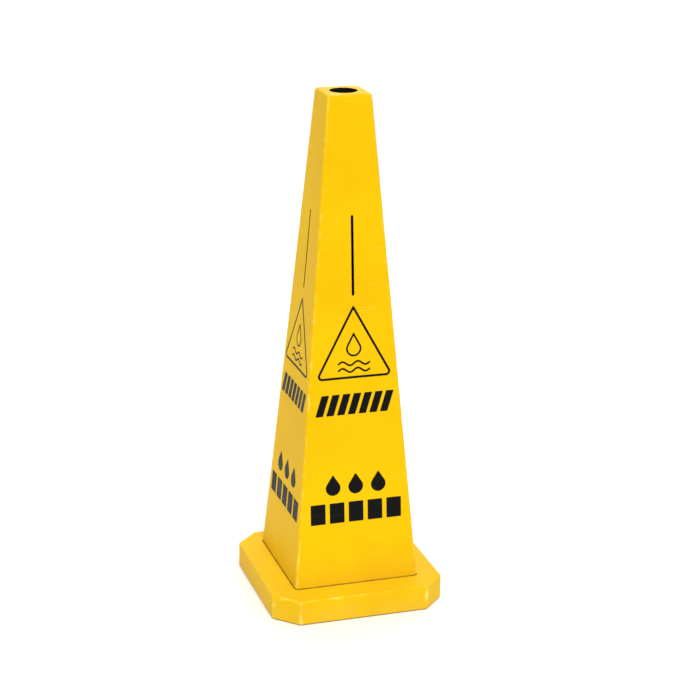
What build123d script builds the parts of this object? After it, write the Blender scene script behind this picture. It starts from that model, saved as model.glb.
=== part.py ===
"""Four-sided wet floor sign, in millimetres.

A hollow tapered cone of moulded polyethylene stands on rubber pads by an out-turned foot flange. A
weighted octagonal base drops over the top of the cone and comes to rest on that flange, so it lifts off
the same way. The base is a moulded shell with four ballast bars inside, closed from below by a screwed
cover. Black films cut for each face carry the warning. Frame: +Z up, origin on the floor under the
middle, front face towards -Y.
"""

import math
import os

from build123d import *

# ---- cone
height = 914.0  # floor to the top of the cone
foot_width = 228.0  # across the cone where it leaves the deck
top_width = 80.0  # across the cone at its top
wall = 3.0
edge_radius = 7.5  # the four long edges
crown_radius = 6.0  # round the rim of the top
root_radius = 2.0  # where the wall turns out into the flange
socket_radius = 24.0  # hole in the top, for a post, a flag or a lamp
socket_depth = 26.0
socket_wall = 3.0
gusset = 2.5
slot_width = 4.6  # slots for barrier tape, one on each face
slot_length = 140.0
slot_bottom = 570.0

# ---- foot flange and its rubber pads
flange_thickness = 3.5
flange_clearance = 5.0  # flange edge to the inside of the base's skirt
pad_radius = 11.0
pad_thickness = 5.0
pad_pocket = 1.0  # how deep a pad sits in the flange
pad_clearance = 0.2
pad_inset = 30.0  # from the end of the cone's side to a pad's centre
pad_groove = (5.0, 7.0, 0.8)  # inner radius, outer radius and depth of the grip groove
pad_chamfer = 0.8

# ---- weighted base
deck_margin = 43.5  # deck from the cone's foot to the outer face
base_height = 46.0  # floor to the deck's outer edge
deck_rise = 3.0  # the deck slopes up to the cone, so water runs off
deck_thickness = 3.5
corner_cut = 40.0
shell_wall = 3.5
skirt_gap = 2.0  # floor to the skirt's lower edge
skirt_radius = 2.0  # the upright edges and the deck's outer edge
guide_wall = 3.0  # inner wall that follows the cone
guide_clearance = 0.5
seat_gap = 0.2  # cover to flange
cover_thickness = 2.5
cover_clearance = 0.4

# ---- ballast bars, ribs, bosses and screws
boss_radius = 5.0
boss_inset = 10.0  # from the end of the cone's side to a boss's centre
rib = 2.5
rib_depth = 18.0
rib_gap = 1.0  # boss to rib
bar_clearance = 0.5
bar_side_clearance = 1.5
bar_radius = 2.0
screw_radius = 2.0
screw_length = 14.0
screw_bite = 0.4  # thread depth cut into the boss
head_radius = 3.8
head_angle = 90.0
hole_clearance = 0.25
recess_width = 0.9
recess_depth = 1.4

# ---- warning films, from the top down
film = 0.3
outline_width = 4.0  # line of the triangle
symbol_width = 3.2  # line of the drop and the waves in it
triangle_gap = 16.0  # slot to the triangle's point
triangle_height = 130.0
triangle_margin = 10.5  # triangle's unrounded corner to the cone's edge
triangle_radius = 8.0  # its lower corners
triangle_tip_radius = 2.0
drop_radius = 14.0
drop_height = 42.0
drop_tip_radius = 1.2
symbol_lift = 15.0  # triangle's foot to the lower wave
wave_count = 4  # half waves in each line
wave_length = 56.0
wave_height = 3.4
wave_pitch = 12.0
row_height = 37.0
row_radius = 1.2
bars_top = 397.0
bars_margin = 14.0
bars_count = 7
bars_gap = 6.0
bars_slant = 12.0
drops_top = 252.0
drops_margin = 43.0
drops_count = 3
small_drop_radius = 13.5
tiles_top = 201.0
tiles_margin = 19.0
tiles_count = 5
tiles_gap = 8.0

# ---- worked out from the sizes above
foot_half = foot_width / 2
top_half = top_width / 2
deck_top = base_height + deck_rise
slope = (foot_half - top_half) / (height - deck_top)
taper = math.atan(slope)
wall_across = wall / math.cos(taper)  # the wall's thickness measured level
flange_bottom = pad_thickness - pad_pocket
flange_top = flange_bottom + flange_thickness
cover_bottom = flange_top + seat_gap
cover_top = cover_bottom + cover_thickness
deck_under = base_height - deck_thickness
base_half = foot_half + deck_margin
skirt_inner = base_half - shell_wall
flange_half = skirt_inner - flange_clearance
cover_half = skirt_inner - cover_clearance
SIDES = {"front": 0, "right": 90, "back": 180, "left": 270}


def cone_half(z):
    """Half the cone's outside width at height z."""
    return foot_half + (deck_top - z) * slope


def cut_for(half):
    """Corner cut of an octagon that runs parallel to the base's outside, with this half width."""
    return corner_cut - (base_half - half) * (2 - math.sqrt(2))


opening_half = cone_half(cover_bottom) + root_radius + guide_clearance  # through the cover
guide_outer = cone_half(cover_top) + guide_clearance + guide_wall
boss_along = foot_half - boss_inset
boss_across = (guide_outer + skirt_inner) / 2
pad_along = foot_half - pad_inset
pad_across = (cone_half(flange_bottom) + flange_half) / 2
rib_along = boss_along - boss_radius - rib_gap - rib / 2
bar_half = rib_along - rib / 2 - bar_clearance


def octagon(half):
    """Square of this half width with its corners cut off, parallel to the base's outside."""
    Rectangle(2 * half, 2 * half)
    chamfer(vertices(), length=cut_for(half))


def cone_square(z, grow, radius):
    """The cone's rounded square outline at height z, grown by this much all round."""
    side = 2 * (cone_half(z) + grow)
    RectangleRounded(side, side, radius)


def side_plane(turn, z):
    """Plane on the cone's face on that side at height z: x along the face, y up its slope, z outwards."""
    angle = math.radians(turn)
    out_x = math.sin(angle)
    out_y = -math.cos(angle)
    half = cone_half(z)
    return Plane(
        origin=(out_x * half, out_y * half, z),
        x_dir=(math.cos(angle), math.sin(angle), 0),
        z_dir=(out_x * math.cos(taper), out_y * math.cos(taper), math.sin(taper)),
    )


def pairs(across, along):
    """Eight places, two beside the middle of each side."""
    return [
        (sx * a, sy * b)
        for a, b in ((across, along), (along, across))
        for sx in (1, -1)
        for sy in (1, -1)
    ]


def save(part, name):
    """Writes one node."""
    part.label = name
    export_step(part, f"parts/{name}.step")


def make_cone_body():
    """The cone: tapered walls, closed top with its socket, tape slots, and the foot flange."""
    socket_bottom = height - socket_depth
    with BuildPart() as hollow:
        with BuildSketch(Plane.XY.offset(flange_bottom)):
            cone_square(flange_bottom, -wall_across, edge_radius - wall)
        with BuildSketch(Plane.XY.offset(height - wall)):
            cone_square(height - wall, -wall_across, edge_radius - wall)
        loft(ruled=True)
        with Locations((0, 0, socket_bottom)):
            Cylinder(
                socket_radius + socket_wall,
                socket_depth,
                align=(Align.CENTER, Align.CENTER, Align.MIN),
                mode=Mode.SUBTRACT,
            )
            for length, width in ((top_width, gusset), (gusset, top_width)):
                Box(
                    length,
                    width,
                    socket_depth,
                    align=(Align.CENTER, Align.CENTER, Align.MIN),
                    mode=Mode.SUBTRACT,
                )
    with BuildPart() as cone_body:
        with BuildSketch(Plane.XY.offset(flange_bottom)):
            cone_square(flange_bottom, 0, edge_radius)
        with BuildSketch(Plane.XY.offset(height)):
            cone_square(height, 0, edge_radius)
        loft(ruled=True)
        fillet(cone_body.faces().sort_by(Axis.Z)[-1].edges(), crown_radius)
        with BuildSketch(Plane.XY.offset(flange_bottom)):
            octagon(flange_half)
        extrude(amount=flange_thickness)
        root = cone_body.faces().filter_by(Plane.XY).filter_by_position(
            Axis.Z, flange_top, flange_top
        )
        fillet(root.face().inner_wires().edges(), root_radius)
        add(hollow.part, mode=Mode.SUBTRACT)
        with BuildSketch(Plane.XY.offset(height)):
            Circle(socket_radius)
        extrude(amount=-socket_depth, mode=Mode.SUBTRACT)
        for turn in SIDES.values():
            with BuildSketch(side_plane(turn, slot_bottom + slot_length / 2)):
                SlotOverall(slot_length, slot_width, rotation=90)
            extrude(amount=2 * wall, both=True, mode=Mode.SUBTRACT)
        with BuildSketch(Plane.XY.offset(flange_bottom)):
            with Locations(*pairs(pad_across, pad_along)):
                Circle(pad_radius + pad_clearance)
        extrude(amount=pad_pocket, mode=Mode.SUBTRACT)
    save(cone_body.part, "cone_body")


def make_foot_pads():
    """Eight rubber pads bonded into the flange's pockets, each with a grip groove in its face."""
    groove_inner, groove_outer, groove_depth = pad_groove
    names = {
        (1, 1, True): "right_back",
        (1, -1, True): "right_front",
        (-1, 1, True): "left_back",
        (-1, -1, True): "left_front",
        (1, 1, False): "back_right",
        (1, -1, False): "front_right",
        (-1, 1, False): "back_left",
        (-1, -1, False): "front_left",
    }
    for x, y in pairs(pad_across, pad_along):
        with BuildPart() as pad:
            with BuildSketch():
                with Locations((x, y)):
                    Circle(pad_radius)
            extrude(amount=pad_thickness)
            chamfer(pad.edges().group_by(Axis.Z)[0], pad_chamfer)
            with BuildSketch():
                with Locations((x, y)):
                    Circle(groove_outer)
                    Circle(groove_inner, mode=Mode.SUBTRACT)
            extrude(amount=groove_depth, mode=Mode.SUBTRACT)
        place = names[(round(math.copysign(1, x)), round(math.copysign(1, y)), abs(x) > abs(y))]
        save(pad.part, f"foot_pad_{place}")


def make_base_shell():
    """The base's moulded shell: sloped deck, skirt, guide wall round the cone, ribs and screw bosses."""
    guide_grow = guide_clearance + guide_wall
    with BuildPart() as base_shell:
        with BuildSketch(Plane.XY.offset(skirt_gap)):
            octagon(base_half)
        extrude(amount=base_height - skirt_gap)
        with BuildSketch(Plane.XY.offset(base_height)):
            octagon(base_half)
        with BuildSketch(Plane.XY.offset(deck_top)):
            octagon(foot_half + guide_grow)
        loft(ruled=True)
        rim = base_shell.edges().filter_by_position(Axis.Z, base_height, base_height)
        fillet(base_shell.edges().filter_by(Axis.Z) + rim, skirt_radius)
        with BuildSketch(Plane.XY.offset(skirt_gap)):
            octagon(skirt_inner)
        extrude(amount=deck_under - skirt_gap, mode=Mode.SUBTRACT)
        with BuildSketch(Plane.XY.offset(cover_top)):
            cone_square(cover_top, guide_grow, edge_radius + guide_grow)
        with BuildSketch(Plane.XY.offset(deck_under)):
            cone_square(deck_under, guide_grow, edge_radius + guide_grow)
        loft(ruled=True)
        with BuildSketch(Plane.XY.offset(deck_under)):
            with Locations(*pairs(boss_across, boss_along)):
                Circle(boss_radius)
        extrude(amount=cover_top - deck_under)
        with BuildSketch(Plane.XY.offset(deck_under)):
            rib_middle = (foot_half + skirt_inner) / 2
            rib_reach = skirt_inner - foot_half + shell_wall
            for across, along, turn in (
                (rib_middle, rib_along, 0),
                (rib_along, rib_middle, 90),
            ):
                with GridLocations(2 * across, 2 * along, 2, 2):
                    Rectangle(rib_reach, rib, rotation=turn)
        extrude(amount=-rib_depth)
        with BuildSketch(Plane.XY.offset(skirt_gap)):
            cone_square(skirt_gap, guide_clearance, edge_radius + guide_clearance)
        with BuildSketch(Plane.XY.offset(deck_top)):
            cone_square(deck_top, guide_clearance, edge_radius + guide_clearance)
        loft(ruled=True, mode=Mode.SUBTRACT)
        with BuildSketch(Plane.XY.offset(cover_top)):
            with Locations(*pairs(boss_across, boss_along)):
                Circle(screw_radius - screw_bite)
        extrude(amount=screw_length, mode=Mode.SUBTRACT)
    save(base_shell.part, "base_shell")


def make_ballast_bars():
    """Four bars of recycled rubber, one along each side of the base, held between the ribs."""
    inside = guide_outer + bar_side_clearance
    outside = skirt_inner - bar_side_clearance
    bottom = cover_top + bar_clearance
    for name, turn in SIDES.items():
        with BuildPart() as bar:
            with BuildSketch(Plane.XY.offset(bottom).rotated((0, 0, turn))):
                with Locations((0, -(inside + outside) / 2)):
                    Rectangle(2 * bar_half, outside - inside)
            extrude(amount=deck_under - bar_clearance - bottom)
            fillet(bar.edges(), bar_radius)
        save(bar.part, f"ballast_bar_{name}")


def make_base_cover():
    """Flat octagonal ring that closes the base from below, with countersunk screw holes."""
    with BuildPart() as base_cover:
        with BuildSketch(Plane.XY.offset(cover_bottom)):
            octagon(cover_half)
            RectangleRounded(2 * opening_half, 2 * opening_half, edge_radius, mode=Mode.SUBTRACT)
        extrude(amount=cover_thickness)
        with Locations(Plane(origin=(0, 0, cover_bottom), z_dir=(0, 0, -1))):
            with Locations(*pairs(boss_across, boss_along)):
                CounterSinkHole(
                    screw_radius + hole_clearance,
                    head_radius + hole_clearance,
                    counter_sink_angle=head_angle,
                )
    save(base_cover.part, "base_cover")


def make_cover_screws():
    """Eight countersunk self-tapping screws, heads flush with the cover's underside."""
    head_height = (head_radius - screw_radius) / math.tan(math.radians(head_angle / 2))
    upward = (Align.CENTER, Align.CENTER, Align.MIN)
    with BuildPart() as cover_screws:
        with Locations((0, 0, cover_bottom)):
            with Locations(*pairs(boss_across, boss_along)):
                Cylinder(screw_radius, screw_length, align=upward)
                Cone(head_radius, screw_radius, head_height, align=upward)
                Box(head_radius, recess_width, recess_depth, align=upward, mode=Mode.SUBTRACT)
                Box(recess_width, head_radius, recess_depth, align=upward, mode=Mode.SUBTRACT)
    save(cover_screws.part, "cover_screws")


def drop_shape(radius, length, tip):
    """Water drop of this full length about its own middle, round below and pointed above."""
    with BuildSketch() as drop:
        with Locations((0, radius - length / 2)):
            Circle(radius)
        with Locations((0, length / 2 - tip)):
            Circle(tip)
        make_hull()
    return drop.sketch


def wave_shape():
    """Wavy line about its own middle: half waves as arcs, up and down in turn, with round ends."""
    half_wave = wave_length / wave_count
    with BuildSketch() as wave:
        with BuildLine():
            for n in range(wave_count):
                start = n * half_wave - wave_length / 2
                SagittaArc((start, 0), (start + half_wave, 0), wave_height * (-1) ** n)
        trace(line_width=symbol_width)
        with Locations((-wave_length / 2, 0), (wave_length / 2, 0)):
            Circle(symbol_width / 2)
    return wave.sketch


def row_plane(turn, top):
    """Plane on that side of the cone, through the middle of the row whose upper edge is at this height."""
    return side_plane(turn, top - row_height / 2)


def row_width(top, margin):
    """Width of a row that stays this far from the cone's edges."""
    return 2 * (cone_half(top - row_height / 2) - margin)


def make_warning_triangle(name, turn):
    """Outlined triangle with a drop above two waves in it."""
    top = slot_bottom - triangle_gap
    bottom = top - triangle_height
    half = cone_half(bottom) - triangle_margin
    foot = -triangle_height / 2 / math.cos(taper)
    drop = drop_shape(drop_radius, drop_height, drop_tip_radius)
    wave = wave_shape()
    with BuildPart() as triangle:
        with BuildSketch(side_plane(turn, (top + bottom) / 2)) as outline:
            Polygon((-half, foot), (half, foot), (0, -foot), align=None)
            fillet(outline.vertices().group_by(Axis.Y)[0], triangle_radius)
            fillet(outline.vertices().sort_by(Axis.Y)[-1], triangle_tip_radius)
            offset(amount=-outline_width, mode=Mode.SUBTRACT)
        extrude(amount=film)
        with BuildSketch(side_plane(turn, (top + bottom) / 2)):
            upper_wave = foot + symbol_lift + wave_pitch
            with Locations((0, foot + symbol_lift), (0, upper_wave)):
                add(wave)
            with Locations((0, upper_wave + wave_pitch + drop_height / 2)):
                add(drop)
                add(offset(drop, amount=-symbol_width, mode=Mode.PRIVATE), mode=Mode.SUBTRACT)
        extrude(amount=film)
    save(triangle.part, f"{name}_warning_triangle")


def make_hazard_bars(name, turn):
    """Row of slanted bars."""
    width = row_width(bars_top, bars_margin)
    pitch = (width - bars_slant + bars_gap) / bars_count
    across = pitch - bars_gap
    with BuildPart() as bars:
        with BuildSketch(row_plane(turn, bars_top)) as row:
            with GridLocations(pitch, 0, bars_count, 1):
                Polygon(
                    (-(across + bars_slant) / 2, -row_height / 2),
                    ((across - bars_slant) / 2, -row_height / 2),
                    ((across + bars_slant) / 2, row_height / 2),
                    ((bars_slant - across) / 2, row_height / 2),
                    align=None,
                )
            fillet(row.vertices(), row_radius)
        extrude(amount=film)
    save(bars.part, f"{name}_hazard_bars")


def make_drop_row(name, turn):
    """Row of water drops."""
    width = row_width(drops_top, drops_margin)
    pitch = (width - 2 * small_drop_radius) / (drops_count - 1)
    drop = drop_shape(small_drop_radius, row_height, drop_tip_radius)
    with BuildPart() as drops:
        with BuildSketch(row_plane(turn, drops_top)):
            with GridLocations(pitch, 0, drops_count, 1):
                add(drop)
        extrude(amount=film)
    save(drops.part, f"{name}_drop_row")


def make_tile_row(name, turn):
    """Row of upright floor tiles."""
    width = row_width(tiles_top, tiles_margin)
    pitch = (width + tiles_gap) / tiles_count
    with BuildPart() as tiles:
        with BuildSketch(row_plane(turn, tiles_top)):
            with GridLocations(pitch, 0, tiles_count, 1):
                RectangleRounded(pitch - tiles_gap, row_height, row_radius)
        extrude(amount=film)
    save(tiles.part, f"{name}_tile_row")


os.makedirs("parts", exist_ok=True)
make_cone_body()
make_foot_pads()
make_base_shell()
make_ballast_bars()
make_base_cover()
make_cover_screws()
for side_name, side_turn in SIDES.items():
    make_warning_triangle(side_name, side_turn)
    make_hazard_bars(side_name, side_turn)
    make_drop_row(side_name, side_turn)
    make_tile_row(side_name, side_turn)
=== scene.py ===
import math

import bmesh
import bpy
import numpy as np
from mathutils import Matrix, Vector


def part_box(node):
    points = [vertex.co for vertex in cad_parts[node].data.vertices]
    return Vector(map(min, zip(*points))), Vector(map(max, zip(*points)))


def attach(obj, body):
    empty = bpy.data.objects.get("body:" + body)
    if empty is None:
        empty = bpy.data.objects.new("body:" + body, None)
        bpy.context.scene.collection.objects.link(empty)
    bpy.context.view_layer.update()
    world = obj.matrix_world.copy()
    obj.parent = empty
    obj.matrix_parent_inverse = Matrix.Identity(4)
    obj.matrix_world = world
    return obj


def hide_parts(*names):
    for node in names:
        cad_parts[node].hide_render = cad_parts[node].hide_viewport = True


# Wet floor sign, in metres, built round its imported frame: a tall square cone with black graphics, and a
# weighted base that drops over it. +Z is up, the front face looks towards -Y, the floor is at z = 0.

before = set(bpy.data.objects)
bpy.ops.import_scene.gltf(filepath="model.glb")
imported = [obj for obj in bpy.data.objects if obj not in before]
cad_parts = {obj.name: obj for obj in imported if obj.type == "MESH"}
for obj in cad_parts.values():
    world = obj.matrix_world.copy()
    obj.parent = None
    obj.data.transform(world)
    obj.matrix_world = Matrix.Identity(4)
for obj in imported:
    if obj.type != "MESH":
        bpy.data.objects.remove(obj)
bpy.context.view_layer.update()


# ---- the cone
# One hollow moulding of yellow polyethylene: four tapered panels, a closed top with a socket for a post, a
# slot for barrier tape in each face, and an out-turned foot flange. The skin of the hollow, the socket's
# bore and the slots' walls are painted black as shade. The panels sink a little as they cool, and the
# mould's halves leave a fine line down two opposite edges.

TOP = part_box("cone_body")[1].z
FLANGE_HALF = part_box("cone_body")[1].x
FLANGE_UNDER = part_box("cone_body")[0].z
FLANGE_TOP = FLANGE_UNDER + 0.0035
FLANGE_EDGE = 0.001
BASE_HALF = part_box("base_shell")[1].x
BASE_CUT = 0.040
DECK_TOP = 0.049
FOOT_HALF = 0.114
TOP_HALF = 0.040
WALL = 0.003
EDGE_RADIUS = 0.0075
CROWN_RADIUS = 0.006
ROOT_RADIUS = 0.002
SOCKET_RADIUS = 0.024
SOCKET_WALL = 0.003
SOCKET_DEPTH = 0.026
SOCKET_LIP = 0.0009
SLOT_HALF = 0.0023
SLOT_LOW = 0.570 + SLOT_HALF
SLOT_HIGH = 0.570 + 0.140 - SLOT_HALF
SLOT_FADE = 0.012
PANEL_BOW = 0.0009
PANEL_RIPPLE = 0.00022
MOULD_LINE = 0.00028

SLOPE = (FOOT_HALF - TOP_HALF) / (TOP - DECK_TOP)
TAPER = math.atan(SLOPE)
WALL_ACROSS = WALL / math.cos(TAPER)

# Every outline has the same columns: from the middle of a side over the slot, along the panel, round the
# corner, and back along the next side to its middle, four times over.
SLOT_STATIONS = SLOT_HALF * np.sin(np.linspace(0, math.pi / 2, 5))
SLOT_REACH = len(SLOT_STATIONS) - 1
PANEL_SHARES = np.linspace(0, 1, 10)[1:]
CORNER_SHARES = np.array([0.12, 0.25, 0.37, 0.46, 0.5, 0.54, 0.63, 0.75, 0.88, 1.0])
PANEL_REACH = SLOT_REACH + len(PANEL_SHARES)
CORNER_COLUMN = PANEL_REACH + 5
QUARTER = 2 * PANEL_REACH + len(CORNER_SHARES)


def cone_half(z):
    """Half the cone's outside width at height z: a straight taper from foot to top."""
    return FOOT_HALF + (DECK_TOP - z) * SLOPE


def cut_for(half):
    """Corner cut of an octagon that runs parallel to the base's outside at this half width."""
    return BASE_CUT - (BASE_HALF - half) * (2 - math.sqrt(2))


def panel_sink(side, share, z):
    """How far a panel lies inside its true plane, at this share of its half width and this height.

    A parabola across times a half sine up the panel, with a slow ripple that differs from side to side.
    """
    up = np.clip((z - DECK_TOP) / (TOP - DECK_TOP), 0, 1)
    bow = np.clip(1 - share**2, 0, 1) * np.sin(math.pi * up)
    ripple = np.sin(5.1 * math.pi * up + 1.9 * side) * np.cos(1.4 * share + 0.8 * side)
    return bow * (PANEL_BOW + PANEL_RIPPLE * ripple)


def to_side(side, across, out):
    """x and y of a point so far across a side and so far out from the middle: quarter turns of the front."""
    return ((across, -out), (out, across), (-across, out), (-out, -across))[side]


def side_columns(reach):
    """The outline's columns on each side, from so many before its middle to as many after it."""
    return (np.arange(-reach, reach + 1) + QUARTER * np.arange(4)[:, None]) % (4 * QUARTER)


def half_side(straight):
    """Places from the middle of a side: fixed steps over the slot, then even steps to the straight's end."""
    shares = SLOT_HALF + PANEL_SHARES * (straight - SLOT_HALF)
    return np.concatenate([SLOT_STATIONS + 0 * straight, shares], axis=1)


def whole_outline(half, run, corner_x, corner_y):
    """Half the front side, its corner, and the same steps back along the right, turned four times."""
    back = run[:, -2:0:-1]
    x = np.concatenate([run, corner_x, half + 0 * back], axis=1)
    y = np.concatenate([-half + 0 * run, corner_y, -back], axis=1)
    return np.concatenate([np.stack(to_side(side, x, -y), -1) for side in range(4)], axis=1)


def rounded_square(half, radius):
    """Outlines of squares with round corners, one row for each half width: an arc joins two sides."""
    half = np.reshape(half, (-1, 1)).astype(float)
    straight = half - np.reshape(radius, (-1, 1))
    angle = CORNER_SHARES * math.pi / 2
    arc_x = straight + (half - straight) * np.sin(angle)
    arc_y = -straight - (half - straight) * np.cos(angle)
    return whole_outline(half, half_side(straight), arc_x, arc_y)


def soft_octagon(half, cut, radius):
    """Outlines of squares with cut corners and rounded edges, in the same columns as rounded_square.

    A corner is an eighth of a circle, the middle of the cut, and the first half mirrored in the diagonal.
    """
    half = np.reshape(half, (-1, 1)).astype(float)
    radius = np.reshape(radius, (-1, 1))
    run = half_side(half - np.reshape(cut, (-1, 1)) - radius * math.tan(math.pi / 8))
    angle = np.linspace(0, math.pi / 4, 5)
    arc_x = run[:, -1:] + radius * np.sin(angle)
    arc_y = -half + radius * (1 - np.cos(angle))
    middle = (arc_x[:, -1:] - arc_y[:, -1:]) / 2
    corner_x = np.concatenate([arc_x[:, 1:], middle, -arc_y[:, ::-1]], axis=1)
    corner_y = np.concatenate([arc_y[:, 1:], -middle, -arc_x[:, ::-1]], axis=1)
    return whole_outline(half, run, corner_x, corner_y)


def circle_like(outline, radius):
    """Each point of an outline moved straight in or out onto a circle of this radius."""
    return outline / np.linalg.norm(outline, axis=-1, keepdims=True) * np.reshape(radius, (-1, 1, 1))


def at_height(outlines, z):
    """Gives outlines their heights, as rows of x, y, z. A single outline or height serves for all rows."""
    heights = np.reshape(z, (-1, 1, 1)) + 0 * outlines[..., :1]
    return np.concatenate([outlines + 0 * heights, heights], axis=-1)


def ring_quads(rows, columns, skip=None):
    """Quads of a grid that closes on itself both ways, without the cells that skip marks."""
    row, column = np.meshgrid(np.arange(rows), np.arange(columns), indexing="ij")
    next_row, next_column = (row + 1) % rows, (column + 1) % columns
    corners = [(row, column), (row, next_column), (next_row, next_column), (next_row, column)]
    quads = np.stack([r * columns + c for r, c in corners], axis=-1)
    return quads.reshape(-1, 4) if skip is None else quads[~skip]


def make_piece(name, points, faces, sharp_degrees=38.0):
    """Puts points and faces in a mesh, closes its poles, and shades it smooth up to an angle."""
    mesh = bpy.data.meshes.new(name)
    mesh.from_pydata(points.reshape(-1, 3).tolist(), [], np.asarray(faces).tolist())
    made = bmesh.new()
    made.from_mesh(mesh)
    bmesh.ops.remove_doubles(made, verts=made.verts, dist=1e-7)
    bmesh.ops.dissolve_degenerate(made, edges=made.edges, dist=1e-8)
    unused = [point for point in made.verts if not point.link_faces]
    bmesh.ops.delete(made, geom=unused, context="VERTS")
    bmesh.ops.recalc_face_normals(made, faces=made.faces)
    made.to_mesh(mesh)
    made.free()
    mesh.shade_smooth()
    mesh.set_sharp_from_angle(angle=math.radians(sharp_degrees))
    piece = bpy.data.objects.new(name, mesh)
    bpy.context.scene.collection.objects.link(piece)
    return piece


def soften_edges(piece, width):
    """Bevels the edges that turn by more than 50 degrees, as a mould or a tool leaves them."""
    bevel = piece.modifiers.new("soft edges", "BEVEL")
    bevel.width = width
    bevel.segments = 2
    bevel.limit_method = "ANGLE"
    bevel.angle_limit = math.radians(50)
    bevel.harden_normals = True


def arc(start, end, count):
    """Sine and cosine of even steps from one angle to another, in degrees."""
    angle = np.radians(np.linspace(start, end, count))
    return np.sin(angle), np.cos(angle)


SMALL_SIN, SMALL_COS = arc(0, 90, 5)


def wall_levels():
    """Heights of the rows up the cone's walls, closer together round the ends of the slots."""
    near, clear, below_crown = np.array([0.003, 0.006, 0.009]), 0.018, 0.012
    levels = [
        np.linspace(FLANGE_TOP + ROOT_RADIUS, SLOT_LOW - clear, 44),
        SLOT_LOW - near[::-1],
        np.linspace(SLOT_LOW, SLOT_HIGH, 13),
        SLOT_HIGH + near,
        np.linspace(SLOT_HIGH + clear, TOP - below_crown, 15),
    ]
    return np.concatenate(levels)


def move_in(rows, side, columns, distance):
    """Moves a side's points in these columns straight in by a distance."""
    out_x, out_y = to_side(side, 0, 1)
    rows[:, columns, 0] -= distance * out_x
    rows[:, columns, 1] -= distance * out_y


def sink_panels(rows, straight):
    """Moves each side's points in by panel_sink, and the two edges with the mould's line out a little."""
    for side, columns in enumerate(side_columns(PANEL_REACH)):
        share = rows[:, columns, side % 2] / straight[:, None]
        move_in(rows, side, columns, panel_sink(side, share, rows[:, columns, 2]))
    for column in (CORNER_COLUMN + QUARTER, CORNER_COLUMN + 3 * QUARTER):
        outwards = rows[:, column, :2] / np.linalg.norm(rows[:, column, :2], axis=-1, keepdims=True)
        rows[:, column, :2] += outwards * MOULD_LINE


def push_slot_ends(rows, z):
    """Rounds the slots' ends: over the slot's width, rows near an end move away by a half circle's rise.

    The move fades with distance from the end, and follows the panel's slope.
    """
    across = np.concatenate([-SLOT_STATIONS[:0:-1], SLOT_STATIONS])
    rise = np.sqrt(np.clip(SLOT_HALF**2 - across**2, 0, None))
    below = np.where(z <= SLOT_LOW + 1e-9, np.clip(1 - (SLOT_LOW - z) / SLOT_FADE, 0, 1), 0)
    above = np.where(z >= SLOT_HIGH - 1e-9, np.clip(1 - (z - SLOT_HIGH) / SLOT_FADE, 0, 1), 0)
    move = (above - below)[:, None] * rise
    for side, columns in enumerate(side_columns(SLOT_REACH)):
        move_in(rows, side, columns, move * SLOPE)
        rows[:, columns, 2] += move


def panel_walls(half, radius, levels):
    """The four walls of one skin: an outline at each level, its panels sunk, its slots' ends rounded."""
    rows = at_height(rounded_square(half, radius), levels)
    sink_panels(rows, half - radius)
    push_slot_ends(rows, levels)
    return rows


def slot_cells(low, high, foot_row, count):
    """Marks the cells of both skins that the slots leave out, between their lowest and highest rows."""
    skip = np.zeros((count, 4 * QUARTER), bool)
    columns = side_columns(SLOT_REACH)[:, :-1].ravel()
    skip[low:high, columns] = True
    skip[foot_row - high : foot_row - low, columns] = True
    return skip


def slot_walls(low, high, foot_row):
    """Quads through the wall round each slot, from the outer skin's rows to the same rows of the inner."""
    steps, across = high - low, np.arange(-SLOT_REACH, SLOT_REACH)
    row = [0 * across + low, low + np.arange(steps), 0 * across + high, high - np.arange(steps)]
    column = [across, np.full(steps, SLOT_REACH), -across, np.full(steps, -SLOT_REACH)]
    row, column = np.concatenate(row), np.concatenate(column)
    quads = []
    for side in range(4):
        turned = (column + QUARTER * side) % (4 * QUARTER)
        outer = row * 4 * QUARTER + turned
        inner = (foot_row - row) * 4 * QUARTER + turned
        quads.append(np.stack([outer, np.roll(outer, -1), np.roll(inner, -1), inner], axis=-1))
    return np.concatenate(quads)


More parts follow.
